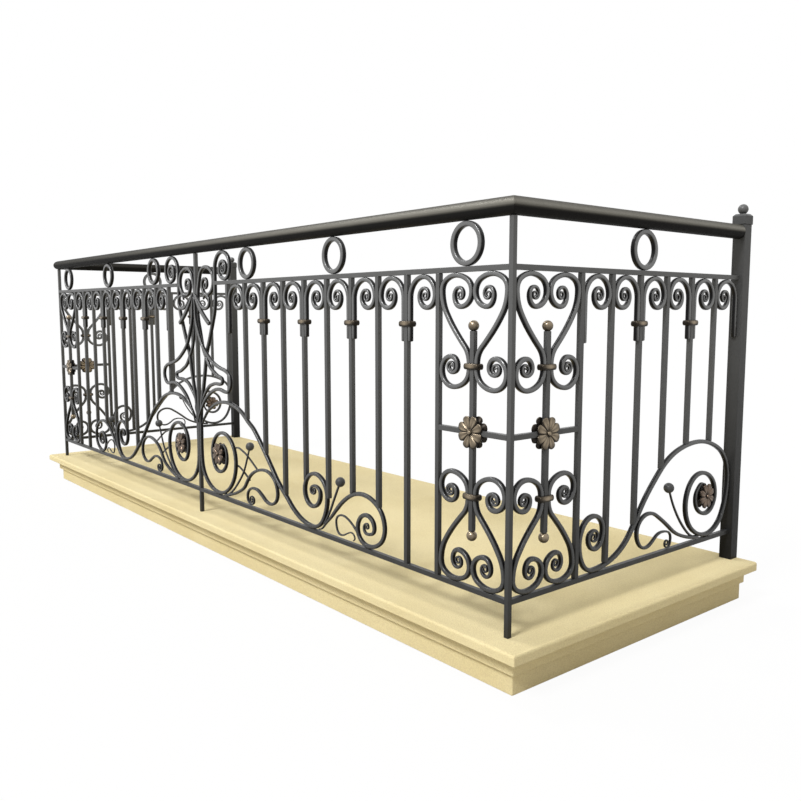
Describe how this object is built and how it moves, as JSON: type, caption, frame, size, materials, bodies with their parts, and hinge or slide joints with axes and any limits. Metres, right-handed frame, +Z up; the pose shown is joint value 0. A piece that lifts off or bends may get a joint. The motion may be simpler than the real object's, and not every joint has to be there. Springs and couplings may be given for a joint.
{
  "type": "balcony railing",
  "caption": "Three-sided wrought-iron balcony railing with scrolls, waves, a lyre centre and corner heart panels, on a tiered stone floor.",
  "frame": {"origin": "middle of the floor's footprint, at its underside", "axes": "+X along the railing's front, +Y towards the wall, +Z up"},
  "size_m": [3.284, 1.066, 1.1856],
  "materials": {
    "iron": "satin graphite paint",
    "bronze": "bronze patina",
    "stone": "fine-grained sandstone"
  },
  "bodies": {
    "root": {"base_course": "stone", "bottom_rail_front": "iron", "bottom_rail_returns": "iron", "crook_collars": "bronze", "end_waves": "iron", "floor_slab": "stone", "front_branches": "iron", "front_crook_scrolls": "iron", "front_pickets": "iron", "front_tendrils": "iron", "front_waves": "iron", "handrail_front": "iron", "handrail_returns": "iron", "head_leaves": "iron", "inner_crooks": "iron", "inner_whiplash_bars": "iron", "lower_heart_scrolls": "iron", "lyre_volutes": "iron", "newel_balls": "iron", "newel_caps": "iron", "newel_posts": "iron", "outer_whiplash_bars": "iron", "panel_collars": "bronze", "panel_crossbars": "iron", "panel_rosettes": "bronze", "panel_side_bars": "iron", "panel_spindle_balls": "bronze", "panel_spindles": "iron", "rail_posts": "iron", "return_branches": "iron", "return_crook_scrolls": "iron", "return_pickets": "iron", "return_waves": "iron", "sprout_balls": "iron", "sprout_stems": "iron", "step_course": "stone", "top_rings": "iron", "upper_heart_scrolls": "iron", "upper_rail_front": "iron", "upper_rail_returns": "iron", "volute_rosettes": "bronze", "volute_strands": "iron"}
  },
  "joints": []
}
